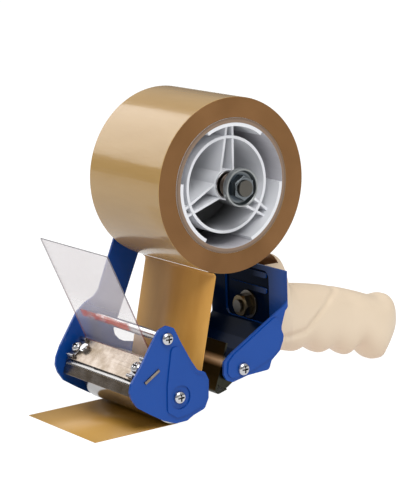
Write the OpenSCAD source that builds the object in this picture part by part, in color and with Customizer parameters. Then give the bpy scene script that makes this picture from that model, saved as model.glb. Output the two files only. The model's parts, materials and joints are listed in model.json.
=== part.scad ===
// Hand-held carton-sealing tape dispenser for a 75 mm roll.
// Millimetres. +Z up, tape runs out towards -Y, handle towards +Y, open loading side on +X.
// Origin: on the work surface, straight below the application roller's axle, mid width.

/* [Tape roll] */
// Tape width
tape_w = 75; // [50:1:76]
// Outside diameter of the roll
roll_d = 108; // [85:1:125]
// Outside diameter of the cardboard core
core_d = 82.8; // [80:0.1:86]
// Inside diameter of the cardboard core
core_bore = 76.6; // [76:0.1:78]
// Roll axis, distance behind the application roller
roll_y = 47.5; // [40:0.5:60]
// Roll axis, height above the work surface
roll_z = 140.3; // [125:0.1:160]
// Thickness the tape film is drawn with
film = 0.4; // [0.2:0.05:0.6]

/* [Application roller] */
// Roller diameter
roller_d = 34; // [28:0.5:40]
// Roller tube length
roller_len = 77; // [74:0.5:78]
// Gap drawn between the roller and the film
film_gap = 0.3; // [0.2:0.05:0.5]

/* [Sheet metal] */
// Steel thickness of the frame and the cheek
sheet = 1.6; // [1.2:0.1:2]
// Distance between the two side plates
inner_w = 80.8; // [78:0.1:84]
// Height of the pressed stiffening areas
emboss = 0.9; // [0.5:0.1:1.2]
// Radius of the round boss that carries the hub bolt
boss_r = 22; // [18:0.5:26]

/* [Rods] */
// Guide rod, distance from the roller axle along Y
guide_y = -7.5; // [-12:0.5:0]
// Guide rod height
guide_z = 55.3; // [50:0.1:60]
// Rear rod, distance from the roller axle along Y
rear_y = 47.9; // [44:0.1:52]
// Rear rod height
rear_z = 26.7; // [24:0.1:32]
// Radius of the guide rod and the rear rod
rod_r = 3; // [2.5:0.1:4]
// Radius of the roller axle
axle_r = 4; // [3:0.1:5]

/* [Hub] */
// Radius of the bolt the hub turns on
bolt_r = 5; // [4:0.1:6]
// Outside radius of the hub's gripping fingers
hub_r = 38.3; // [37:0.1:38.5]
// Outside radius of the hub's inner ring
ring_r = 30; // [26:0.5:32]
// Radius of the hub's central boss
hub_boss_r = 9.5; // [8:0.1:12]

/* [Cutting head] */
// Slope of the blade carrier, degrees
carrier_a = 31.4; // [25:0.1:40]
// Slope of the clamp plate, degrees
clamp_a = 40.4; // [32:0.1:48]
// Distance from blade tooth to blade tooth
tooth = 2; // [1.5:0.5:3]
// Thickness of the clear flap
flap_t = 1; // [0.8:0.1:1.5]

/* [Handle] */
// Half width of the grip
grip_w = 15.5; // [13:0.5:18]

/* [Hidden] */
half_tape = tape_w / 2;
half_in = inner_w / 2;
half_out = half_in + sheet;
roller_r = roller_d / 2;
axle_z = roller_r + film_gap + film;
screw_r = 2;
thread_r = 2.05;
round_n = 64;
head_r = 3.9;
head_h = 2.8;
wall_y = 84.5;
wall_back = wall_y + sheet;
panel_back = wall_back + sheet;
nut_z = 54;
bolt_out = 9.9;
carrier_y = -13.8;
carrier_z = 37.4;
carrier_t = 1.5;
slot_len = 12.7;
clamp_y = -26.95;
clamp_z = 31.13;

// Corner rounding for outlines given as a list of points.
function unit(v) = v / norm(v);
function wrap180(a) = ((a + 540) % 360) - 180;
function corner(a, b, c, r, n) =
    let(u = unit(a - b))
    let(w = unit(c - b))
    let(half = acos(max(-1, min(1, u * w))) / 2)
    half > 88 ? [b] :
    let(d = min(r / tan(half), norm(a - b) / 2.1, norm(c - b) / 2.1))
    let(rr = d * tan(half))
    let(ctr = b + unit(u + w) * (rr / sin(half)))
    let(p0 = b + u * d - ctr)
    let(p1 = b + w * d - ctr)
    let(a0 = atan2(p0[1], p0[0]))
    let(da = wrap180(atan2(p1[1], p1[0]) - a0))
    [for (i = [0 : n]) ctr + rr * [cos(a0 + da * i / n), sin(a0 + da * i / n)]];
function soften(pts, r, n = 4) =
    let(k = len(pts))
    [for (i = [0 : k - 1]) each corner(pts[(i + k - 1) % k], pts[i], pts[(i + 1) % k], r, n)];

function rounded(path, r, n = 6) =
    let(k = len(path))
    concat([path[0]], [for (i = [1 : k - 2]) each corner(path[i - 1], path[i], path[i + 1], r, n)],
           [path[k - 1]]);

// Band of even thickness along an open path, for bent sheet.
function left_of(v) = [-v[1], v[0]];
function miter(p, i) =
    let(k = len(p))
    let(u = unit(p[min(i + 1, k - 1)] - p[min(i, k - 2)]))
    let(w = unit(p[max(i, 1)] - p[max(i - 1, 0)]))
    let(n = unit(left_of(u) + left_of(w)))
    n / (n * left_of(u));
function band(p, t) =
    let(k = len(p))
    concat([for (i = [0 : k - 1]) p[i] + miter(p, i) * t / 2],
           [for (i = [k - 1 : -1 : 0]) p[i] - miter(p, i) * t / 2]);

// Outlines are drawn in the YZ plane and pushed out along +X.
module slab(x0, t) {
    translate([x0, 0, 0])
        rotate([90, 0, 90])
            linear_extrude(t)
                children();
}

module bar(x0, len, y, z, r) {
    translate([x0, y, z])
        rotate([0, 90, 0])
            cylinder(h = len, r = r, $fn = round_n);
}

module hex(h, flats) {
    cylinder(h = h, r = flats / sqrt(3), $fn = 6);
}

// Ear and rear edge shared by both sides of the bent frame.
wall_top = 81.8;
step_z = 60.5;
ear_top = [[34.2, 33], [38.2, 36.2], [41.3, 38.2], [80.6, 60.1], [wall_y, 63.5],
           [wall_y, wall_top], [wall_back, wall_top], [wall_back, step_z]];
ear_low = [[82.4, 57.5], [80.4, 51.5], [78.9, 46.7], [80.8, 42], [80.2, 38.7], [77.6, 32.8],
           [70.8, 27.6], [68.8, 22.2], [52, 21.6], [40.5, 19.3], [36, 21.3]];
right_ear = concat(ear_top, ear_low, [[34, 25]]);
left_front = [[-33.8, 22.3], [-35.4, 27.5], [-34.6, 32.4], [-31.2, 39.5], [-18.4, 58.5],
              [-12, 63.4], [-4.6, 66.6], [-1, 70.4], [3.8, 82], [11.4, 100.1], [26.1, 135.3]];
left_back = [[42.5, 118.8], [29.9, 90.2], [16, 59], [12.4, 51], [9.4, 46.2], [8.6, 43],
             [9.4, 39.5], [12.4, 36], [17, 33.6], [24, 32.2], [34, 32.8]];
left_low = [[33, 19.6], [27, 17.4], [22, 14.4], [18.6, 7.4], [10.6, 4.5], [5.3, 2.1],
            [-3, 1.8], [-11.6, 5.2], [-20.8, 10.7], [-29.9, 16.6]];
left_plate = concat(left_front, left_back, [for (i = [1 : 7]) ear_top[i]], ear_low, left_low);
cheek = [[-7.2, 63.4], [-13.4, 61.2], [-18.8, 53.4], [-26.8, 41.2], [-34, 32.2], [-35.4, 27],
         [-33.9, 22.3], [-29.9, 16.6], [-20.8, 10.7], [-11.6, 5.2], [-3, 1.8], [5.3, 1.9],
         [10.6, 4.5], [18.8, 7], [21.9, 13], [22.4, 24.4], [19.8, 29.8], [14.2, 32.2],
         [9.7, 38.8], [2.8, 51.2], [-2, 61]];
plateau = [[-4.6, 49.4], [-8.6, 26], [-9, 10], [-2, 5.2], [7, 6.2], [16.6, 9.2], [19.6, 14.6],
           [20, 23.4], [17.6, 27.4], [12, 30], [7, 38], [0.6, 49.4]];
ear_pad = [[74.6, 55.4], [41.6, 36.8], [37.2, 32.6], [36.4, 25.4], [39.4, 22], [44, 22.4],
           [56, 24.6], [69.4, 29.4], [75.8, 34.4], [78.4, 40], [78.6, 50]];
wall_low = 42.3;
step_left = 38.3;
step_right = 33;
bend_r = 3;
wall_foot = [[wall_y + sheet / 2, 46], [wall_y + sheet / 2, 42.5], [77, 33.4], [69.6, 27.2],
             [66.4, 21.6]];

module side_holes(x0) {
    bar(x0, 4, 0, axle_z, 2.2);
    bar(x0, 4, guide_y, guide_z, 2.2);
}

module tab_slot(x0) {
    translate([x0, carrier_y, carrier_z])
        rotate([carrier_a, 0, 0])
            translate([0, -slot_len, -0.85])
                cube([4, slot_len, 1.7]);
}

// Outlines on the rear wall are drawn in the XZ plane; y is the nearer face.
module on_wall(y, t) {
    translate([0, y + t, 0])
        rotate([90, 0, 0])
            linear_extrude(t)
                children();
}

// Low rib pressed across the back panel.
rib_half = 19.5;
rib_h = 1.8;
module wall_rib(z) {
    on_wall(wall_back - 1, 1.4)
        polygon(soften([[-rib_half, z - rib_h], [rib_half, z - rib_h], [rib_half, z + rib_h],
                        [-rib_half, z + rib_h]], 1.6));
}

wall_outline = [[-half_out, wall_top], [half_out, wall_top], [half_out, step_z],
                [step_right + 4, step_z - 4], [step_right, step_z - 8], [step_right, wall_low],
                [-step_left, wall_low], [-step_left, step_z - 2], [-half_out, step_z]];

// Waste outside the round bend between the rear wall and a side plate.
module bend_waste(side) {
    translate([side * (half_out - bend_r), wall_back - bend_r, step_z - 4])
        linear_extrude(wall_top - step_z + 8)
            difference() {
                translate([side > 0 ? 0 : -bend_r - 1, 0])
                    square(bend_r + 1);
                circle(r = bend_r, $fn = round_n);
            }
}

module frame() {
    color([0.05, 0.2, 0.6])
        difference() {
            union() {
                slab(-half_out, sheet)
                    polygon(soften(left_plate, 2.5));
                slab(-half_out, sheet)
                    translate([roll_y, roll_z])
                        circle(r = boss_r, $fn = 96);
                slab(half_in, sheet)
                    polygon(soften(right_ear, 2.5));
                slab(half_out, emboss)
                    polygon(soften(ear_pad, 3));
                difference() {
                    union() {
                        on_wall(wall_y, sheet)
                            polygon(wall_outline);
                        slab(-step_left, step_left + step_right)
                            polygon(band(rounded(wall_foot, 2), sheet));
                    }
                    on_wall(wall_y - 1, sheet + 2)
                        polygon(soften([[-23, 44], [23, 44], [23, 78.8], [-23, 78.8]], 5));
                }
                translate([-25, wall_back, 42.4])
                    cube([50, sheet, 38.4]);
                wall_rib(65.4);
                wall_rib(75.4);
            }
            bend_waste(-1);
            bend_waste(1);
            side_holes(-half_out - 1);
            tab_slot(-half_out - 1);
            for (x = [-half_out - 1, half_in - 1])
                bar(x, 4.5, rear_y, rear_z, 2.2);
            bar(-half_out - 1, 4, roll_y, roll_z, bolt_r + 0.1);
            translate([0, wall_y - 1, nut_z])
                rotate([-90, 0, 0])
                    cylinder(h = 6, r = 4.2, $fn = round_n);
        }
}

module right_cheek() {
    color([0.08, 0.26, 0.7])
        difference() {
            union() {
                slab(half_in, sheet)
                    polygon(soften(cheek, 3));
                slab(half_out, emboss)
                    polygon(soften(plateau, 3));
            }
            side_holes(half_in - 1);
            tab_slot(half_in - 1);
            bar(half_out, 3, 0.4, axle_z, 7.4);
        }
}

module cross_rod(y, z, r) {
    difference() {
        bar(-half_in, inner_w, y, z, r);
        bar(-half_in - 1, 13, y, z, thread_r);
        bar(half_in - 12, 13, y, z, thread_r);
    }
}

module guide_rod() {
    color([0.8, 0.8, 0.82])
        cross_rod(guide_y, guide_z, rod_r);
}

module roller_axle() {
    color([0.7, 0.7, 0.72])
        cross_rod(0, axle_z, axle_r);
}

module rear_rod() {
    color([0.7, 0.7, 0.72])
        cross_rod(rear_y, rear_z, rod_r);
}

// Pan head with a cross recess; the shank points down, the bearing face is at z = 0.
module cross_screw(shank, r = head_r, h = head_h) {
    difference() {
        union() {
            translate([0, 0, -shank])
                cylinder(h = shank, r = screw_r, $fn = 32);
            rotate_extrude($fn = round_n)
                polygon([[0, 0], [r, 0], [r, 0.35 * h], [0.93 * r, 0.62 * h], [0.75 * r, 0.85 * h],
                         [0.45 * r, 0.97 * h], [0, h]]);
        }
        for (a = [0, 90])
            rotate([0, 0, a])
                translate([-2.3, -0.55, h - 1.6])
                    cube([4.6, 1.1, 2]);
    }
}

module side_pair(y, z, x_right) {
    translate([x_right, y, z])
        rotate([0, 90, 0])
            cross_screw(10);
    translate([-half_out, y, z])
        rotate([0, -90, 0])
            cross_screw(10);
}

module side_screws() {
    color([0.85, 0.85, 0.87]) {
        side_pair(guide_y, guide_z, half_out);
        side_pair(0, axle_z, half_out);
        side_pair(rear_y, rear_z, half_out + emboss);
    }
}

// Working frame of the blade carrier: y runs up the slope, z stands off its upper face.
module on_carrier() {
    translate([0, carrier_y, carrier_z])
        rotate([carrier_a, 0, 0])
            children();
}

module on_clamp() {
    translate([0, clamp_y, clamp_z])
        rotate([clamp_a, 0, 0])
            children();
}

module clamp_bolt_holes(r) {
    on_clamp()
        for (x = [-33, 33])
            translate([x, 7.3, -8])
                cylinder(h = 14, r = r, $fn = 32);
}

// Upper edge, bend and front lip of the carrier.
carrier_path = [[4, 0], [-15.6, 0], [-22, -5.2]];

module blade_carrier() {
    color([0.7, 0.7, 0.7])
        difference() {
            on_carrier() {
                slab(-half_in + 0.3, inner_w - 0.6)
                    polygon(band(rounded(carrier_path, 2), carrier_t));
                for (x = [-half_out - 1, half_in - 1])
                    translate([x, -slot_len + 0.2, -carrier_t / 2])
                        cube([half_out - half_in + 2, slot_len - 0.4, carrier_t]);
            }
            clamp_bolt_holes(2.2);
        }
}

module blade() {
    teeth = floor(74 / tooth);
    x0 = -teeth * tooth / 2;
    edge = [for (i = [0 : teeth - 1]) each [[x0 + i * tooth, -17], [x0 + (i + 0.5) * tooth, -18.6]]];
    color([0.75, 0.76, 0.78])
        difference() {
            on_carrier()
                translate([0, 0, carrier_t / 2])
                    linear_extrude(0.6)
                        polygon(concat(edge, [[-x0, -17], [-x0, -5.5], [x0, -5.5]]));
            clamp_bolt_holes(2.2);
        }
}

module clamp_plate() {
    color([0.72, 0.7, 0.66])
        difference() {
            on_clamp()
                translate([0, 0, 1.2])
                    linear_extrude(1.2)
                        polygon(soften([[-38, -1], [38, -1], [38, 15.4], [-38, 15.4]], 2));
            clamp_bolt_holes(2.2);
            on_clamp()
                translate([-25.5, 8.2, -2])
                    cylinder(h = 6, r = 2.1, $fn = 32);
        }
}

// Clear flap: lower margin under the clamp plate, then a bend and the long free sheet.
flap_turn = 73.4;
flap_len = 73.6;
flap_path = [[2.4, 0.6], [17.2, 0.6], [17.2, 0.6] + flap_len * [cos(flap_turn), sin(flap_turn)]];

module flap() {
    color([0.9, 0.92, 0.95, 0.35])
        difference() {
            on_clamp()
                slab(-37, 74)
                    polygon(band(rounded(flap_path, 2), flap_t));
            clamp_bolt_holes(2.2);
            on_clamp()
                translate([-25.5, 8.2, -2])
                    cylinder(h = 6, r = 2.1, $fn = 32);
        }
}

module end_clip(x0) {
    difference() {
        union() {
            translate([x0, 0.8, 2.4])
                cube([6.4, 13.2, 0.8]);
            for (y = [0.8, 14])
                translate([x0, y, 3.6])
                    rotate([0, 90, 0])
                        cylinder(h = 6.4, r = 1.2, $fn = 32);
        }
        translate([x0 + 3.2, 7.3, 0])
            cylinder(h = 6, r = 2.2, $fn = 32);
        for (y = [0.8, 14])
            translate([x0 - 1, y, 3.6])
                rotate([0, 90, 0])
                    cylinder(h = 9, r = 0.5, $fn = 24);
    }
}

module end_clips() {
    color([0.82, 0.82, 0.84])
        on_clamp() {
            end_clip(-36.2);
            end_clip(29.8);
        }
}

module clamp_screws() {
    color([0.88, 0.88, 0.9])
        on_clamp()
            for (x = [-33, 33])
                translate([x, 7.3, 3.2])
                    cross_screw(11, 3.7, 3);
}

module clamp_nuts() {
    color([0.78, 0.74, 0.62])
        on_clamp()
            for (x = [-33, 33])
                translate([x, 7.3, -7.1])
                    difference() {
                        hex(2.6, 7);
                        translate([0, 0, -1])
                            cylinder(h = 5, r = thread_r, $fn = 32);
                    }
}

module stud_nut() {
    color([0.8, 0.8, 0.82])
        on_clamp()
            translate([-25.5, 8.2, 0]) {
                translate([0, 0, 2.4])
                    hex(2.2, 5.5);
                translate([0, 0, 0.1])
                    cylinder(h = 5.2, r = screw_r, $fn = 32);
            }
}

// Dark bent plate behind the roller, hung on the rear rod.
guard_path = [[39.6, 43.6], [36.6, 32.9], [29.2, 12.4], [38.4, 14.8]];
guard_lug = [[36.4, 33.2], [31.4, 17.6], [38, 15], [49.4, 22], [51.2, 27.6], [48, 31.4]];

module guard_plate() {
    color([0.12, 0.12, 0.12])
        difference() {
            union() {
                slab(-38.2, 76.4)
                    polygon(band(rounded(guard_path, 2), 1.3));
                for (x = [-38.2, 37])
                    slab(x, 1.2)
                        polygon(soften(guard_lug, 3));
            }
            bar(-40, 80, rear_y, rear_z, rod_r + 0.05);
        }
}

// Side profile of the grip, as heights against the distance y. Its top is a shoulder round the
// pocket, a bowed back, and a rounded butt. Its underside runs from the wall to the first of
// four ridges, finger_pitch apart, with a scooped groove for a finger between each two. The
// last ridge is the flat of the butt, which rests on the work surface, and a heel rises behind.
shoulder = [[panel_back, 84.5], [90, 85], [101, 85], [105, 84], [107, 81], [107.6, 70],
            [109, 66], [115, 62.5]];
back_y = [115, 186];
back_z = [62.5, 43.5];
back_bow = 2.5;
butt_top = [[186, 43.5], [191, 43], [196, 43.5], [200, 42], [203, 36], [204.6, 30]];
grip_foot = 25.5;
ridge_y = 115.5;
finger_pitch = 22.5;
ridge_z = [17.5, 12.5, 7, 0];
groove_deep = [4, 4, 8.5];
butt_flat = [183, 188];
heel = [[183, 0], [188, 0], [195, 8.5], [203, 17], [204.6, 22]];
// Half width: straight from the wall, a waist in the middle of the grip, and the butt, which
// ends in a half ellipse
grip_share = [[panel_back, 1.1], [104, 1.1], [160, 0.97], [186, 1.13]];
butt_y = 183;
butt_reach = 22;
grip_y = concat([panel_back], [for (y = [91 : 3 : 103]) y], [for (y = [104.4 : 0.8 : 110]) y],
                [for (y = [111 : 2 : 181]) y], [183, 185.5, 188, 189.5, 191, 193, 195, 197, 199,
                201, 202.4, 203.6, 204.6]);
grip_n = 32;
grip_e = 0.8;
function sgn_pow(v, e) = sign(v) * pow(abs(v), e);
function blend(a, b, u) = a + (b - a) * u;
function eased(height, y) = (height(y - 1) + 2 * height(y) + height(y + 1)) / 4;
function top_height(y) =
    let(u = (y - back_y[0]) / (back_y[1] - back_y[0]))
    u < 0 ? lookup(y, shoulder)
    : u > 1 ? lookup(y, butt_top)
    : blend(back_z[0], back_z[1], u) + 4 * back_bow * u * (1 - u);
function low_height(y) =
    let(n = (y - ridge_y) / finger_pitch)
    let(i = floor(n))
    i < 0 ? blend(grip_foot, ridge_z[0], (y - panel_back) / (ridge_y - panel_back))
    : i >= len(groove_deep) ? lookup(y, heel)
    : blend(ridge_z[i], ridge_z[i + 1], n - i) + groove_deep[i] * (1 - cos(360 * n)) / 2;
function half_width(y) =
    grip_w * lookup(y, grip_share) * sqrt(1 - pow(max(0, y - butt_y) / butt_reach, 2));
function grip_ring(y) =
    let(top = eased(function(v) top_height(v), y))
    let(low = y >= butt_flat[0] && y <= butt_flat[1] ? 0 : eased(function(v) low_height(v), y))
    [for (i = [0 : grip_n - 1])
        let(a = 360 * (i + 0.5) / grip_n)
        [half_width(y) * sgn_pow(cos(a), grip_e),
         y,
         (top + low) / 2 + (top - low) / 2 * sgn_pow(sin(a), grip_e)]];

module grip_body() {
    k = len(grip_y);
    pts = [for (y = grip_y) each grip_ring(y)];
    sides = [for (j = [0 : k - 2], i = [0 : grip_n - 1])
        let(a = j * grip_n + i)
        let(b = j * grip_n + (i + 1) % grip_n)
        each [[a, a + grip_n, b], [b, a + grip_n, b + grip_n]]];
    first = [for (i = [0 : grip_n - 1]) i];
    last = [for (i = [grip_n - 1 : -1 : 0]) (k - 1) * grip_n + i];
    polyhedron(points = pts, faces = concat([first], sides, [last]), convexity = 4);
}

module handle() {
    color([0.86, 0.79, 0.69])
        difference() {
            grip_body();
            translate([0, 80, nut_z])
                rotate([-90, 0, 0])
                    cylinder(h = 46, r = 4.1, $fn = round_n);
            translate([-11, 86, 71.3])
                cube([22, 15.6, 20]);
        }
}

module handle_bolt() {
    color([0.7, 0.7, 0.72])
        translate([0, wall_back - bolt_out, nut_z])
            rotate([-90, 0, 0])
                cylinder(h = bolt_out + 38.5, r = 4, $fn = round_n);
}

module ring_y(y0, h, ro, ri) {
    translate([0, y0, nut_z])
        rotate([-90, 0, 0])
            difference() {
                cylinder(h = h, r = ro, $fn = round_n);
                translate([0, 0, -1])
                    cylinder(h = h + 2, r = ri, $fn = round_n);
            }
}

module handle_washer() {
    color([0.75, 0.74, 0.7])
        ring_y(wall_back - 1.6, 1.6, 9, 4.2);
}

module handle_nut() {
    color([0.68, 0.64, 0.52])
        translate([0, wall_back - 8.2, nut_z])
            rotate([-90, 0, 0])
                difference() {
                    intersection() {
                        hex(6.6, 13);
                        translate([0, 0, -0.6])
                            cylinder(h = 8, r1 = 6.4, r2 = 9.6, $fn = round_n);
                    }
                    translate([0, 0, -1])
                        cylinder(h = 9, r = 4.05, $fn = round_n);
                }
}

module on_hub(x0) {
    translate([x0, roll_y, roll_z])
        rotate([0, 90, 0])
            children();
}

module hub_bolt() {
    color([0.72, 0.72, 0.74]) {
        on_hub(-half_out - 1.5 - 5)
            hex(5, 16);
        on_hub(-half_out - 1.5)
            cylinder(h = half_out + 1.5 + 51.5, r = bolt_r, $fn = round_n);
    }
}

module disc_x(x0, h, ro, ri) {
    on_hub(x0)
        difference() {
            cylinder(h = h, r = ro, $fn = 96);
            translate([0, 0, -1])
                cylinder(h = h + 2, r = ri, $fn = round_n);
        }
}

module bolt_locknut() {
    color([0.72, 0.72, 0.74])
        disc_x(-half_out - 1.5, 1.5, 10, bolt_r + 0.1);
}

module friction_washer() {
    color([0.25, 0.2, 0.16])
        disc_x(-half_in, 1.2, 16, bolt_r + 0.1);
}

module thrust_washer() {
    color([0.7, 0.7, 0.72])
        disc_x(32.3, 1.4, 9, bolt_r + 0.1);
}

// Helical spring as one swept tube.
coil_x0 = 34.8;
coil_x1 = 42;
coil_turns = 4;
coil_r = 7;
wire_r = 0.85;
coil_steps = 96;
wire_n = 8;
function coil_ring(k) =
    let(t = k / coil_steps)
    let(a = 360 * coil_turns * t)
    [for (j = [0 : wire_n - 1])
        let(b = 360 * j / wire_n)
        let(r = coil_r + wire_r * cos(b))
        [coil_x0 + (coil_x1 - coil_x0) * t + wire_r * sin(b),
         roll_y + r * cos(a),
         roll_z + r * sin(a)]];

module brake_spring() {
    pts = [for (k = [0 : coil_steps]) each coil_ring(k)];
    sides = [for (k = [0 : coil_steps - 1], j = [0 : wire_n - 1])
        let(a = k * wire_n + j)
        let(b = k * wire_n + (j + 1) % wire_n)
        each [[a, b, a + wire_n], [b, b + wire_n, a + wire_n]]];
    first = [for (j = [wire_n - 1 : -1 : 0]) j];
    last = [for (j = [0 : wire_n - 1]) coil_steps * wire_n + j];
    color([0.16, 0.13, 0.12])
        polyhedron(points = pts, faces = concat([first], sides, [last]), convexity = 8);
}

module spring_cup() {
    color([0.7, 0.73, 0.72])
        on_hub(43)
            rotate_extrude($fn = 96)
                polygon([[bolt_r + 0.1, 0], [10.6, 0], [11.4, 0.5], [11.8, 1.4], [11.8, 4.6],
                         [11.5, 5], [10.7, 5], [10.3, 4.6], [10.1, 2.4], [9.6, 1.6],
                         [bolt_r + 0.1, 1.6]]);
}

module brake_nut() {
    color([0.62, 0.64, 0.66])
        on_hub(44.6)
            difference() {
                union() {
                    hex(5, 13.5);
                    cylinder(h = 5.4, r = 6.6, $fn = round_n);
                }
                translate([0, 0, -1])
                    cylinder(h = 8, r = bolt_r + 0.04, $fn = round_n);
            }
}

module wedge(a, width, r) {
    rotate([0, 0, a])
        polygon([[0, 0], r * [cos(width / 2), -sin(width / 2)], r * [cos(width / 2), sin(width / 2)]]);
}

// Directions of the spoke pairs and fingers, from straight up towards -Y.
spoke_angles = [-6, 114, 234];

module spoke_pair(a, x0, h) {
    rotate([0, 0, a])
        for (s = [-1, 1])
            translate([0, s * 5.4, 0])
                rotate([0, 0, -s * 5.2])
                    translate([7.4, -0.75, x0])
                        cube([29.6, 1.5, h]);
}

// Local frame of the hub: x up (+Z of the part), y towards -Y, z along +X.
module hub_frame() {
    translate([0, roll_y, roll_z])
        rotate([0, 90, 0])
            rotate([0, 0, 180])
                children();
}

module hub() {
    color([0.93, 0.93, 0.95])
        hub_frame()
            difference() {
                union() {
                    translate([0, 0, -39.2])
                        cylinder(h = 71.5, r = hub_boss_r, $fn = round_n);
                    difference() {
                        translate([0, 0, -39.2])
                            cylinder(h = 1.6, r = 41, $fn = 120);
                        translate([0, 0, -40])
                            cylinder(h = 3, r = ring_r - 1, $fn = 120);
                    }
                    difference() {
                        translate([0, 0, -38])
                            cylinder(h = 75.5, r = hub_r, $fn = 120);
                        translate([0, 0, -39])
                            cylinder(h = 78, r = hub_r - 2.1, $fn = 120);
                        for (a = spoke_angles)
                            translate([0, 0, -10])
                                linear_extrude(50)
                                    wedge(a + 60, 55, 60);
                    }
                    difference() {
                        translate([0, 0, -38])
                            cylinder(h = 70, r = ring_r, $fn = 120);
                        translate([0, 0, -39])
                            cylinder(h = 72, r = ring_r - 1.8, $fn = 120);
                    }
                    translate([0, 0, -2])
                        cylinder(h = 2, r = ring_r - 1, $fn = 96);
                    for (a = spoke_angles)
                        spoke_pair(a, -37.8, 69.3);
                }
                translate([0, 0, -41])
                    cylinder(h = 80, r = bolt_r + 0.05, $fn = round_n);
            }
}

module tape_core() {
    color([0.78, 0.72, 0.66])
        disc_x(-half_tape, tape_w, core_d / 2, core_bore / 2);
}

module tape_roll() {
    color([0.5, 0.33, 0.18])
        on_hub(-half_tape)
            difference() {
                cylinder(h = tape_w, r = roll_d / 2, $fn = 180);
                translate([0, 0, -1])
                    cylinder(h = tape_w + 2, r = core_d / 2, $fn = 96);
            }
}

// Film path from the peel line down behind the roller, round it and out along the surface.
peel_r = 2.5;
peel_a = 74.4;
wrap_r = roller_r + film_gap + film / 2;
run_a = -13.8;
peel_c = [30.53, 85.9];
arc_n = 10;
function arc(c, r, a0, a1, n) =
    [for (i = [0 : n])
        let(a = a0 + (a1 - a0) * i / n)
        c + r * [cos(a), sin(a)]];
leader_out = concat(arc(peel_c, peel_r + film / 2, peel_a, run_a, arc_n),
                    arc([0, axle_z], wrap_r + film / 2, run_a, -84, 14), [[1, 0], [-58.2, 0]]);
leader_in = concat([[-58.2, film]], arc([0, axle_z], wrap_r - film / 2, -90, run_a, 16),
                   arc(peel_c, peel_r - film / 2, run_a, peel_a, arc_n));

module tape_leader() {
    color([0.62, 0.46, 0.24])
        slab(-half_tape, tape_w)
            polygon(concat(leader_out, leader_in));
}

module roller_tube() {
    color([0.75, 0.75, 0.76])
        difference() {
            bar(-roller_len / 2, roller_len, 0, axle_z, roller_r);
            bar(-roller_len / 2 - 1, roller_len + 2, 0, axle_z, roller_r - 2);
        }
}

module bush(x0, lip_x) {
    difference() {
        union() {
            bar(x0, 12, 0, axle_z, roller_r - 2);
            bar(lip_x, 0.9, 0, axle_z, 8);
        }
        bar(x0 - 2, 16, 0, axle_z, axle_r + 0.06);
    }
}

module roller_bushes() {
    color([0.2, 0.2, 0.22]) {
        bush(-roller_len / 2, -roller_len / 2 - 0.9);
        bush(roller_len / 2 - 12, roller_len / 2);
    }
}

frame();
right_cheek();
guide_rod();
roller_axle();
rear_rod();
side_screws();
blade_carrier();
blade();
clamp_plate();
flap();
end_clips();
clamp_screws();
clamp_nuts();
stud_nut();
guard_plate();
handle();
handle_bolt();
handle_washer();
handle_nut();
hub_bolt();
bolt_locknut();
friction_washer();
thrust_washer();
brake_spring();
spring_cup();
brake_nut();
hub();
tape_core();
tape_roll();
tape_leader();
roller_tube();
roller_bushes();
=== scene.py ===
"""Looks of the packing tape dispenser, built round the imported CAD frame."""

import json
import math

import bmesh
import bpy
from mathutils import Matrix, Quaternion, Vector


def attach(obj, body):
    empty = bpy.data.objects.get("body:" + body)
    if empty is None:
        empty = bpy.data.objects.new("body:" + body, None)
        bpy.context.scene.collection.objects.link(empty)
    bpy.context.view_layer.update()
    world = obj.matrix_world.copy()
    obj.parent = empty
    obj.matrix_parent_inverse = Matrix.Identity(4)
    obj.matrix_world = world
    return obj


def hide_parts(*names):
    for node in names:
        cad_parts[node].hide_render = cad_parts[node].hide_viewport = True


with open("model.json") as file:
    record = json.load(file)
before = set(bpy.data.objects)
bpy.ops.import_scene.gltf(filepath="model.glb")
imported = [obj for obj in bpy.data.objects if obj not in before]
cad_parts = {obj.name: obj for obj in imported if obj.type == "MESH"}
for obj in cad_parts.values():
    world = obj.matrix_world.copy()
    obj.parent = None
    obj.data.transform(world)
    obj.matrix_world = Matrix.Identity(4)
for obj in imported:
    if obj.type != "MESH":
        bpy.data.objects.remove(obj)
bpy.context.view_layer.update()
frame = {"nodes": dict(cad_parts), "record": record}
nodes = frame["nodes"]

MM = 0.001
# Axis of the tape roll
ROLL_Y = 47.5 * MM
ROLL_Z = 140.3 * MM
# The rear wall's recessed panel lies behind PANEL_Y, and its foot below FOOT_Z; the blue paint puts
# painted shade on both
PANEL_Y = 85.3 * MM
FOOT_Z = 43.5 * MM
# Edges sharper than this are kept as edges
SHARP = math.radians(35)


# Camera, floor and light ------------------------------------------------------------------

CAMERA_AT = Vector((1.02941, -0.68584, 0.36549))
CAMERA_AZIMUTH = math.radians(54.30)
CAMERA_ELEVATION = math.radians(12.10)
CAMERA_ROLL = math.radians(-1.77)
CAMERA_LENS = 149.3
# Soft boxes: azimuth and elevation in degrees, distance and sizes in metres, watts
LIGHTS = {
    "key": (72, 52, 1.5, (0.9, 0.9), 12),
    "left box": (288, 30, 1.4, (1.0, 0.8), 5),
    "top": (20, 82, 1.4, (1.0, 1.0), 4),
}
LIGHTS_AIM = Vector((0, 0.06, 0.09))
WORLD_LOW = 0.16
WORLD_HIGH = 0.55
FLOOR_SIDE = 6
FLOOR_SHADE = 0.15
FLOOR_GLOW = 0.98
FLOOR_MIRRORED = 0.7


def direction(azimuth, elevation):
    """Unit vector towards a place seen at that azimuth and elevation, as the views name them."""
    level = math.cos(elevation)
    return Vector((math.sin(azimuth) * level, -math.cos(azimuth) * level, math.sin(elevation)))


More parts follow.
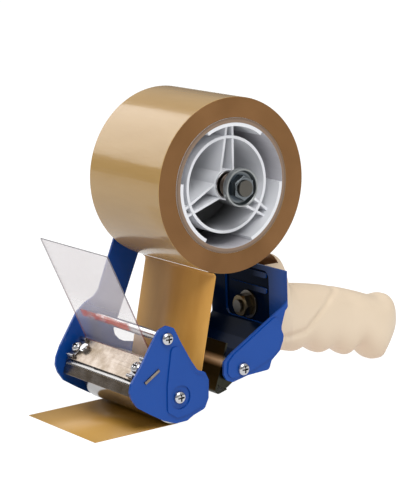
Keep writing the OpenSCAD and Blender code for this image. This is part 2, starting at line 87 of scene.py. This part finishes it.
def make_camera():
    data = bpy.data.cameras.new("camera")
    data.lens = CAMERA_LENS
    data.sensor_width = 36
    camera = bpy.data.objects.new("camera", data)
    camera.location = CAMERA_AT
    camera.rotation_mode = "QUATERNION"
    level = (-direction(CAMERA_AZIMUTH, CAMERA_ELEVATION)).to_track_quat("-Z", "Y")
    camera.rotation_quaternion = level @ Quaternion((0, 0, 1), CAMERA_ROLL)
    bpy.context.scene.collection.objects.link(camera)
    bpy.context.scene.camera = camera


def area_light(name, azimuth, elevation, distance, size, power):
    """Soft box that looks at the middle of the object."""
    data = bpy.data.lights.new(name, "AREA")
    data.shape = "RECTANGLE"
    data.size, data.size_y = size
    data.energy = power
    light = bpy.data.objects.new(name, data)
    towards = direction(math.radians(azimuth), math.radians(elevation))
    light.location = LIGHTS_AIM + towards * distance
    light.rotation_euler = towards.to_track_quat("Z", "Y").to_euler()
    bpy.context.scene.collection.objects.link(light)


def make_world():
    """Dim low down, brighter overhead, so that steel and film show light and dark bands."""
    world = bpy.data.worlds.new("studio")
    bpy.context.scene.world = world
    world.use_nodes = True
    tree = world.node_tree
    place = tree.nodes.new("ShaderNodeTexCoord")
    split = tree.nodes.new("ShaderNodeSeparateXYZ")
    ramp = tree.nodes.new("ShaderNodeValToRGB")
    tree.links.new(place.outputs["Generated"], split.inputs[0])
    tree.links.new(split.outputs["Z"], ramp.inputs["Fac"])
    stops = ramp.color_ramp.elements
    stops[0].position, stops[0].color = 0.05, (*[WORLD_LOW] * 3, 1)
    stops[1].position, stops[1].color = 0.75, (*[WORLD_HIGH] * 3, 1)
    tree.links.new(ramp.outputs["Color"], tree.nodes["Background"].inputs["Color"])


def make_floor():
    """Matt floor that glows white to the eye and more dimly in the object's reflections."""
    mesh = bpy.data.meshes.new("floor")
    side = FLOOR_SIDE
    corners = [(-side, -side, 0), (side, -side, 0), (side, side, 0), (-side, side, 0)]
    mesh.from_pydata(corners, [], [(0, 1, 2, 3)])
    floor = bpy.data.objects.new("floor", mesh)
    bpy.context.scene.collection.objects.link(floor)
    paint = Paint("floor", (FLOOR_SHADE, FLOOR_SHADE, FLOOR_SHADE), 0.9)
    paint.set("Specular IOR Level", 0.1)
    paint.set("Emission Color", (1, 1, 1, 1))
    mirrored = paint.add("ShaderNodeLightPath").outputs["Is Glossy Ray"]
    glow = paint.math("MULTIPLY_ADD", mirrored, FLOOR_MIRRORED - FLOOR_GLOW, FLOOR_GLOW)
    paint.set("Emission Strength", glow)
    mesh.materials.append(paint.material)


# Materials --------------------------------------------------------------------------------


class Paint:
    """A Principled material and short calls that add nodes to it."""

    def __init__(self, name, colour, roughness, metallic=0.0, **sockets):
        self.material = bpy.data.materials.new(name)
        self.material.use_nodes = True
        self.tree = self.material.node_tree
        self.bsdf = self.tree.nodes["Principled BSDF"]
        self.set("Base Color", (*colour, 1))
        self.set("Roughness", roughness)
        self.set("Metallic", metallic)
        for socket, value in sockets.items():
            self.set(socket.replace("_", " "), value)
        self.place = self.add("ShaderNodeTexCoord").outputs["Object"]

    def set(self, socket, value):
        self.plug(self.bsdf.inputs[socket], value)

    def plug(self, target, value):
        if isinstance(value, bpy.types.NodeSocket):
            self.tree.links.new(value, target)
        else:
            target.default_value = value

    def add(self, kind, inputs=(), **settings):
        node = self.tree.nodes.new(kind)
        for key, value in settings.items():
            setattr(node, key, value)
        for key, value in dict(inputs).items():
            self.plug(node.inputs[key], value)
        return node

    def stretched(self, scale):
        """Coordinates multiplied by scale along each axis."""
        node = self.add("ShaderNodeMapping", {"Vector": self.place, "Scale": scale})
        return node.outputs["Vector"]

    def noise(self, scale, detail=3.0, roughness=0.5, place=None):
        inputs = {"Vector": place or self.place, "Scale": scale, "Detail": detail,
                  "Roughness": roughness}
        return self.add("ShaderNodeTexNoise", inputs).outputs["Fac"]

    def math(self, operation, a, b=0.0, c=0.0):
        node = self.add("ShaderNodeMath", {0: a, 1: b, 2: c}, operation=operation)
        return node.outputs["Value"]

    def ramp(self, fac, low, high):
        """0 below low, 1 above high, and even in between."""
        node = self.add("ShaderNodeValToRGB", {"Fac": fac})
        ends = node.color_ramp.elements
        ends[0].position, ends[1].position = low, high
        ends[0].color, ends[1].color = (0, 0, 0, 1), (1, 1, 1, 1)
        return node.outputs["Color"]

    def mix(self, fac, a, b):
        """Colour a where fac is 0 and b where it is 1."""
        node = self.add("ShaderNodeMix", {"Factor": fac}, data_type="RGBA")
        self.plug(node.inputs[6], a if isinstance(a, bpy.types.NodeSocket) else (*a, 1))
        self.plug(node.inputs[7], b if isinstance(b, bpy.types.NodeSocket) else (*b, 1))
        return node.outputs[2]

    def between(self, value, low, high):
        """1 where the value is between low and high, and 0 elsewhere."""
        above = self.math("GREATER_THAN", value, low)
        return self.math("MULTIPLY", above, self.math("LESS_THAN", value, high))

    def axes(self, socket=None):
        """X, Y and Z of the place on the part, or of another vector."""
        return self.add("ShaderNodeSeparateXYZ", {0: socket or self.place}).outputs

    def facing(self):
        """X, Y and Z of the flat face's own normal."""
        return self.axes(self.add("ShaderNodeNewGeometry").outputs["True Normal"])

    def from_line(self, y, z):
        """Distance from a line along X."""
        at = self.axes()
        dy = self.math("SUBTRACT", at["Y"], y)
        dz = self.math("SUBTRACT", at["Z"], z)
        return self.math("SQRT", self.math("MULTIPLY_ADD", dy, dy, self.math("MULTIPLY", dz, dz)))

    def recess_shade(self, colour, distance, shade):
        """The colour with painted shade: darker in corners and recesses, by ambient occlusion."""
        corner = self.add("ShaderNodeAmbientOcclusion", {"Distance": distance}, samples=8)
        return self.mix(self.ramp(corner.outputs["AO"], 0.25, 0.8), shade, colour)

    def bump(self, height, strength, distance):
        previous = self.bsdf.inputs["Normal"]
        inputs = {"Height": height, "Strength": strength, "Distance": distance}
        node = self.add("ShaderNodeBump", inputs)
        if previous.is_linked:
            self.plug(node.inputs["Normal"], previous.links[0].from_socket)
        self.plug(previous, node.outputs["Normal"])


def blue_paint():
    """Gloss powder coat with a faint orange peel, a painted highlight (paler blue) on rounded edges
    that face up, and painted shade, near black with almost no sheen, on the wall inside the frame."""
    paint = Paint("blue_paint", (0.004, 0.055, 0.31), 0.2)
    cloud = paint.noise(22, 4)
    coat = paint.mix(cloud, (0.002, 0.053, 0.29), (0.005, 0.073, 0.37))
    at = paint.axes()
    normal = paint.facing()
    # Painted highlight: rounded edges that face up are mixed towards a paler blue.
    slant = paint.math("ABSOLUTE", normal["X"])
    rim = paint.between(slant, 0.2, 0.96)
    rim = paint.math("MULTIPLY", rim, paint.ramp(normal["Z"], 0.05, 0.5))
    coat = paint.mix(paint.math("MULTIPLY", rim, 0.75), coat, (0.14, 0.25, 0.62))
    # Painted shade: inside the frame the wall's front goes near black with almost no sheen, on the
    # recessed panel, on the foot and towards the far side.
    front = paint.ramp(paint.math("MULTIPLY", normal["Y"], -1.0), 0.4, 0.65)
    panel = paint.math("GREATER_THAN", at["Y"], PANEL_Y)
    far = paint.math("SUBTRACT", 1.0, paint.ramp(paint.math("ADD", at["X"], 0.1), 0.105, 0.136))
    painted_shade = paint.math("MULTIPLY", front, paint.math("GREATER_THAN", at["Y"], 0.065))
    foot = paint.math("LESS_THAN", at["Z"], FOOT_Z)
    shaded = paint.math("MAXIMUM", foot, paint.math("MAXIMUM", panel, far))
    painted_shade = paint.math("MULTIPLY", painted_shade, shaded)
    paint.set("Base Color", paint.mix(painted_shade, coat, (0.0008, 0.006, 0.024)))
    paint.set("Specular IOR Level", paint.math("MULTIPLY_ADD", painted_shade, -0.30, 0.32))
    paint.set("Roughness", paint.math("MULTIPLY_ADD", cloud, 0.12, 0.16))
    paint.bump(paint.noise(420, 2), 0.10, 0.0002)
    return paint.material


def metal(name, colour, roughness, grain=(1, 1, 1)):
    """Plated or polished steel with painted shade in its recesses. Its fine grain runs along the axes
    of grain that have the smaller numbers."""
    paint = Paint(name, colour, roughness, 1.0)
    fine = paint.noise(60, 5, 0.6, paint.stretched(grain))
    shade = tuple(0.72 * c for c in colour)
    plate = paint.mix(paint.noise(35, 3), shade, colour)
    paint.set("Base Color", paint.recess_shade(plate, 0.0025, tuple(0.16 * c for c in colour)))
    paint.set("Roughness", paint.math("MULTIPLY_ADD", fine, 0.1, roughness))
    paint.bump(fine, 0.12, 0.0001)
    return paint.material


def guard_steel():
    """Near-black steel plate with a painted highlight along its fold: a pale golden, less metallic
    line.
    """
    paint = Paint("guard_steel", (0.06, 0.055, 0.04), 0.3, 1.0)
    at = paint.axes()
    fine = paint.noise(60, 5, 0.6, paint.stretched((1, 8, 8)))
    # Painted highlight: the line where the plate bends.
    fold = paint.math("ABSOLUTE", paint.math("SUBTRACT", at["Z"], 0.0326))
    rough_fold = paint.math("MULTIPLY_ADD", fine, 0.0002, fold)
    wear_and_glint = paint.math("SUBTRACT", 1.0, paint.ramp(rough_fold, 0.0004, 0.0007))
    plate = paint.mix(fine, (0.030, 0.031, 0.023), (0.055, 0.054, 0.040))
    paint.set("Metallic", paint.math("MULTIPLY_ADD", wear_and_glint, -0.7, 1.0))
    paint.set("Base Color", paint.mix(wear_and_glint, plate, (0.75, 0.55, 0.36)))
    paint.set("Roughness", paint.math("MULTIPLY_ADD", fine, 0.12, 0.24))
    paint.bump(fine, 0.12, 0.0001)
    return paint.material


def cup_steel():
    """Steel pressing, bright on its rim and outer wall, with painted shade inside: dark within the rim.
    """
    paint = Paint("cup_steel", (0.12, 0.14, 0.16), 0.3, 1.0)
    fine = paint.noise(60, 5, 0.6)
    # Painted shade: everything nearer the axis than the rim is dark.
    rim = paint.ramp(paint.from_line(ROLL_Y, ROLL_Z), 0.0104, 0.0107)
    paint.set("Base Color", paint.mix(rim, (0.10, 0.12, 0.14), (0.50, 0.52, 0.51)))
    paint.set("Roughness", paint.math("MULTIPLY_ADD", fine, 0.1, 0.28))
    paint.bump(fine, 0.12, 0.0001)
    return paint.material


def blotched_zinc():
    """Zinc sheet with warm brown blotches."""
    paint = Paint("zinc_steel", (0.6, 0.57, 0.52), 0.3, 1.0)
    brushed = paint.noise(60, 5, 0.6, paint.stretched((1, 14, 14)))
    blotch = paint.ramp(paint.noise(95, 4, 0.6), 0.35, 0.68)
    paint.set("Base Color", paint.mix(blotch, (0.40, 0.34, 0.29), (0.21, 0.16, 0.11)))
    paint.set("Roughness", paint.math("MULTIPLY_ADD", brushed, 0.18, 0.16))
    paint.bump(brushed, 0.15, 0.0001)
    return paint.material


def moulded(name, colour, roughness, grain):
    """Moulded plastic with a fine spark-eroded grain."""
    paint = Paint(name, colour, roughness)
    cloud = paint.noise(18, 4)
    shade = tuple(0.93 * c for c in colour)
    paint.set("Base Color", paint.mix(cloud, shade, colour))
    paint.bump(paint.noise(grain, 3), 0.15, 0.0002)
    return paint.material


def grip_plastic():
    """Ivory moulding with painted shade: darker and warmer where it faces down, and brown inside the
    pocket at its top.
    """
    paint = Paint("ivory_plastic", (0.82, 0.67, 0.50), 0.42)
    at = paint.axes()
    skin = paint.mix(paint.noise(18, 4), (0.75, 0.61, 0.45), (0.84, 0.69, 0.52))
    # Painted shade: brown inside the pocket at the handle's top.
    across = paint.math("LESS_THAN", paint.math("ABSOLUTE", at["X"]), 0.01105)
    along = paint.math("LESS_THAN", at["Y"], 0.10165)
    high = paint.between(at["Z"], 0.0712, 0.0846)
    pocket = paint.math("MULTIPLY", paint.math("MULTIPLY", across, along), high)
    # Painted shade: faces that look down are mixed towards a darker warm tone.
    normal = paint.axes(paint.add("ShaderNodeNewGeometry").outputs["Normal"])
    down = paint.math("MULTIPLY", normal["Z"], -1.0)
    skin = paint.mix(paint.math("MULTIPLY", paint.ramp(down, 0.0, 0.9), 0.6), skin, (0.50, 0.33, 0.22))
    paint.set("Base Color", paint.mix(pocket, skin, (0.22, 0.11, 0.04)))
    paint.bump(paint.noise(700, 3), 0.15, 0.0002)
    return paint.material


def hub_plastic():
    """White moulding with painted shade: greyer the deeper its pockets go, darkest in the lower one."""
    paint = Paint("white_plastic", (0.80, 0.81, 0.84), 0.32)
    at = paint.axes()
    # Painted shade, deepening into the pockets and strongest in the lower one.
    depth = paint.math("SUBTRACT", 1.0, paint.ramp(at["X"], 0.0, 0.026))
    upper = paint.ramp(at["Z"], 0.128, 0.137)
    deep = paint.math("MULTIPLY", depth, paint.math("MULTIPLY_ADD", upper, -0.55, 0.9))
    skin = paint.mix(paint.noise(18, 4), (0.74, 0.75, 0.78), (0.80, 0.81, 0.84))
    paint.set("Base Color", paint.mix(deep, skin, (0.045, 0.045, 0.042)))
    paint.bump(paint.noise(500, 3), 0.15, 0.0002)
    return paint.material


def wound_board():
    """Cardboard core: pale liner in the bore, brown plies with a dark seam on the end faces."""
    paint = Paint("cardboard", (0.6, 0.6, 0.62), 0.8)
    radius = paint.from_line(ROLL_Y, ROLL_Z)
    plies = paint.add("ShaderNodeCombineXYZ", {"X": paint.math("MULTIPLY", radius, 2600)})
    layers = paint.ramp(paint.noise(1.0, 2, 0.6, plies.outputs[0]), 0.3, 0.7)
    edge = paint.mix(layers, (0.19, 0.12, 0.075), (0.33, 0.235, 0.17))
    edge = paint.mix(paint.ramp(radius, 0.0409, 0.0412), edge, (0.07, 0.04, 0.022))
    fibre = paint.noise(60, 5, 0.6, paint.stretched((1, 6, 6)))
    liner = paint.mix(fibre, (0.50, 0.49, 0.52), (0.64, 0.63, 0.67))
    end_face = paint.ramp(paint.math("ABSOLUTE", paint.facing()["X"]), 0.6, 0.8)
    paint.set("Base Color", paint.mix(end_face, liner, edge))
    paint.bump(fibre, 0.2, 0.0002)
    return paint.material


def wound_film():
    """Roll of film: glossy golden outer turn, rich brown edge with fine windings and broad lighter
    patches of painted sheen.
    """
    paint = Paint("wound_film", (0.4, 0.24, 0.09), 0.2, Coat_Roughness=0.08)
    radius = paint.from_line(ROLL_Y, ROLL_Z)
    turns = paint.add("ShaderNodeCombineXYZ", {"X": paint.math("MULTIPLY", radius, 2600)})
    lines = paint.noise(1.0, 3, 0.7, turns.outputs[0])
    windings = paint.mix(paint.ramp(lines, 0.3, 0.7), (0.150, 0.066, 0.017), (0.205, 0.094, 0.026))
    # Painted sheen: broad lighter patches on the edge.
    windings = paint.mix(paint.ramp(paint.noise(26, 3), 0.35, 0.7), windings, (0.235, 0.112, 0.036))
    edge = paint.ramp(paint.math("ABSOLUTE", paint.facing()["X"]), 0.6, 0.8)
    waves = paint.noise(16, 3, 0.55, paint.stretched((0.6, 2.2, 2.2)))
    outer = paint.mix(paint.ramp(waves, 0.35, 0.65), (0.42, 0.25, 0.075), (0.48, 0.30, 0.105))
    paint.set("Base Color", paint.mix(edge, outer, windings))
    paint.set("Specular IOR Level", paint.math("MULTIPLY_ADD", edge, -0.25, 0.5))
    paint.set("Roughness", paint.math("MULTIPLY_ADD", edge, 0.28, 0.22))
    paint.set("Coat Weight", paint.math("MULTIPLY_ADD", edge, -0.5, 0.5))
    ripple = paint.noise(30, 3, 0.6, paint.stretched((1, 3, 3)))
    paint.bump(paint.math("MULTIPLY", ripple, paint.math("SUBTRACT", 1.0, edge)), 0.35, 0.0009)
    paint.bump(paint.math("MULTIPLY", lines, edge), 0.25, 0.0001)
    return paint.material


def loose_film():
    """Single film: brown where it hangs, lighter gold where it lies out on the pale surface, with a
    painted shadow darkening it next to the roller.
    """
    paint = Paint("loose_film", (0.4, 0.24, 0.09), 0.42, Coat_Weight=0.1, Coat_Roughness=0.2)
    paint.set("Specular IOR Level", 0.3)
    at = paint.axes()
    # Painted shadow: the lying film is darker next to the roller and fades to lighter gold further
    # forward.
    out = paint.ramp(paint.math("MULTIPLY", at["Y"], -1.0), 0.018, 0.05)
    streak = paint.noise(24, 4, 0.5, paint.stretched((2.5, 0.8, 0.8)))
    hanging = paint.mix(paint.ramp(streak, 0.3, 0.7), (0.58, 0.285, 0.056), (0.70, 0.37, 0.085))
    lying = paint.mix(out, (0.44, 0.22, 0.028), (0.64, 0.36, 0.085))
    paint.set("Base Color", paint.mix(paint.math("GREATER_THAN", at["Z"], 0.002), lying, hanging))
    paint.bump(paint.noise(22, 3, 0.5, paint.stretched((1, 3, 1))), 0.3, 0.0005)
    return paint.material


def clear_pvc():
    """Clear sheet: milky above, clearer at its foot, grey cut edges with a painted dark red glow low
    down, and a red band of print that is partly rubbed off.
    """
    paint = Paint("clear_pvc", (0.78, 0.73, 0.75), 0.1)
    at = paint.axes()
    cloud = paint.noise(40, 3)
    wander = paint.math("MULTIPLY_ADD", cloud, 0.004, at["Z"])
    off_middle = paint.math("ABSOLUTE", paint.math("ADD", at["X"], 0.001))
    band = paint.math("LESS_THAN", off_middle, 0.026)
    band = paint.math("MULTIPLY", band, paint.between(wander, 0.0615, 0.0662))
    wear_and_glint = paint.math("MULTIPLY", band, paint.ramp(paint.noise(110, 3), 0.36, 0.5))
    normal = paint.facing()
    side = paint.math("GREATER_THAN", paint.math("ABSOLUTE", normal["X"]), 0.6)
    along = paint.math("MULTIPLY_ADD", normal["Z"], 0.915, paint.math("MULTIPLY", normal["Y"], -0.4035))
    cut = paint.math("MAXIMUM", side, paint.math("GREATER_THAN", along, 0.7))
    # Painted light: low down the cut edges glow dark red, for light carried along the sheet from the
    # red band.
    low = paint.math("SUBTRACT", 1.0, paint.ramp(at["Z"], 0.060, 0.085))
    rim = paint.mix(low, (0.16, 0.15, 0.17), (0.22, 0.035, 0.03))
    sheet = paint.mix(wear_and_glint, (0.78, 0.73, 0.75), (0.62, 0.11, 0.06))
    paint.set("Base Color", paint.mix(cut, sheet, rim))
    tint = paint.math("MULTIPLY_ADD", paint.ramp(at["Z"], 0.054, 0.078), 0.25, 0.14)
    tint = paint.math("MULTIPLY_ADD", cloud, 0.08, tint)
    tint = paint.math("MULTIPLY_ADD", wear_and_glint, 0.35, tint)
    paint.set("Alpha", paint.math("MULTIPLY_ADD", cut, 0.4, tint))
    return paint.material


MATERIALS = {
    "blue_paint": blue_paint(),
    "bright_steel": metal("bright_steel", (0.80, 0.80, 0.82), 0.12),
    "zinc_steel": blotched_zinc(),
    # yellow_zinc is darker than fresh plating: painted shade for the handle nut in the rear wall's dark
    # recess.
    "yellow_zinc": metal("yellow_zinc", (0.19, 0.145, 0.08), 0.24),
    "blade_steel": metal("blade_steel", (0.48, 0.47, 0.46), 0.22, (12, 1, 1)),
    "dark_steel": guard_steel(),
    "clear_pvc": clear_pvc(),
    "ivory_plastic": grip_plastic(),
    "white_plastic": hub_plastic(),
    "friction_fibre": moulded("friction_fibre", (0.10, 0.07, 0.05), 0.8, 300),
    "spring_steel": metal("spring_steel", (0.14, 0.11, 0.09), 0.35),
    "cardboard": wound_board(),
    "brown_tape": wound_film(),
    "roller_steel": metal("roller_steel", (0.62, 0.61, 0.60), 0.10, (1, 10, 10)),
    "black_plastic": moulded("black_plastic", (0.03, 0.03, 0.033), 0.45, 400),
}
# Darker steel for the hub bolt, and painted shade on the handle's bolt and washer in the rear wall's
# dark recess.
DARKENED_STEEL = metal("darkened_steel", (0.17, 0.16, 0.14), 0.26)
OWN_MATERIAL = {
    "tape_leader": loose_film(),
    "spring_cup": cup_steel(),
    "brake_nut": metal("nut_steel", (0.26, 0.29, 0.31), 0.22),
    "hub_bolt": DARKENED_STEEL,
    "handle_bolt": DARKENED_STEEL,
    "handle_washer": DARKENED_STEEL,
    # The end clips' darker steel is painted shade.
    "end_clips": metal("clip_steel", (0.42, 0.41, 0.42), 0.18),
}


# Pieces -----------------------------------------------------------------------------------

# Width of each node's rounded edges, in millimetres
EDGE = {"frame": 0.5, "right_cheek": 0.55, "hub": 0.35, "brake_spring": 0.0,
        "tape_leader": 0.0, "tape_roll": 0.5, "blade": 0.0, "flap": 0.15}
OTHER_EDGE = 0.25
# Side view of the crease that runs down each flank of the grip
CREASE = [(153 * MM, 55 * MM), (143 * MM, 51 * MM), (132 * MM, 43 * MM), (120 * MM, 33 * MM),
          (104 * MM, 31 * MM)]
CREASE_DEPTH = 1.5 * MM
CREASE_WIDTH = 1.9 * MM
# The crease fades out this close to the middle, and the seam starts clear of the pocket
CREASE_FADE = 6 * MM
SEAM_DEPTH = 0.35 * MM
SEAM_WIDTH = 0.5 * MM
SEAM_START = 112 * MM
LONGEST_EDGE = 1.2 * MM
SMOOTHING_ROUNDS = 6


def soften(node, width, segments):
    """Joins a CAD node's faces, rounds its edges a little and shades it smooth."""
    mesh = node.data
    mesh.polygons.foreach_set("use_smooth", [True] * len(mesh.polygons))
    if "custom_normal" in mesh.attributes:
        mesh.attributes.remove(mesh.attributes["custom_normal"])
    weld = node.modifiers.new("weld", "WELD")
    weld.merge_threshold = 0.002 * MM
    bevel = node.modifiers.new("bevel", "BEVEL")
    bevel.width = width
    bevel.segments = segments
    bevel.limit_method = "ANGLE"
    bevel.angle_limit = SHARP
    bevel.harden_normals = True


def dress(name):
    """Gives a CAD node its own material, or the one of its slot in the record."""
    node = nodes[name]
    slot = next(s["material_slot"] for s in frame["record"]["subparts"] if s["node"] == name)
    node.data.materials.clear()
    node.data.materials.append(OWN_MATERIAL.get(name, MATERIALS[slot]))


def line_distance(y, z):
    """Distance in the side view from the crease that runs down the grip's flank."""
    spot = Vector((y, z))
    best = 1.0
    for a, b in zip(CREASE, CREASE[1:]):
        a, b = Vector(a), Vector(b)
        along = max(0.0, min(1.0, (spot - a).dot(b - a) / (b - a).length_squared))
        best = min(best, (spot - a - along * (b - a)).length)
    return best


def make_grip():
    """The handle again with a finer skin, a soft crease down each flank and a parting seam."""
    mesh = bpy.data.meshes.new("grip_skin")
    work = bmesh.new()
    work.from_mesh(nodes["handle"].data)
    bmesh.ops.remove_doubles(work, verts=work.verts, dist=0.005 * MM)
    long_edges = [e for e in work.edges
                  if e.calc_face_angle(0) < SHARP and e.calc_length() > LONGEST_EDGE]
    bmesh.ops.subdivide_edges(work, edges=long_edges, cuts=2, use_grid_fill=True)
    bmesh.ops.triangulate(work, faces=work.faces)
    fixed = {v for e in work.edges if e.calc_face_angle(0) > SHARP for v in e.verts}
    loose = [v for v in work.verts if v not in fixed]
    for _ in range(SMOOTHING_ROUNDS):
        bmesh.ops.smooth_vert(work, verts=loose, factor=0.5,
                              use_axis_x=True, use_axis_y=True, use_axis_z=True)
    work.normal_update()
    for v in loose:
        y, z = v.co.y, v.co.z
        sink = CREASE_DEPTH * math.exp(-(line_distance(y, z) / CREASE_WIDTH) ** 2)
        sink *= min(1.0, abs(v.co.x) / CREASE_FADE)
        if y > SEAM_START:
            sink += SEAM_DEPTH * math.exp(-(v.co.x / SEAM_WIDTH) ** 2)
        v.co -= v.normal * sink
        v.co.z = max(v.co.z, 0.0)
    work.to_mesh(mesh)
    work.free()
    mesh.polygons.foreach_set("use_smooth", [True] * len(mesh.polygons))
    mesh.set_sharp_from_angle(angle=math.radians(40))
    piece = bpy.data.objects.new("grip", mesh)
    bpy.context.scene.collection.objects.link(piece)
    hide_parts("handle")
    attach(piece, "frame_body")
    mesh.materials.append(MATERIALS["ivory_plastic"])


make_camera()
make_world()
for name, settings in LIGHTS.items():
    area_light(name, *settings)
bpy.context.scene.view_settings.view_transform = "Standard"
make_floor()
make_grip()
for name, node in nodes.items():
    if name != "handle":
        dress(name)
        segments = 3 if name in ("frame", "right_cheek") else 2
        soften(node, EDGE.get(name, OTHER_EDGE) * MM, segments=segments)
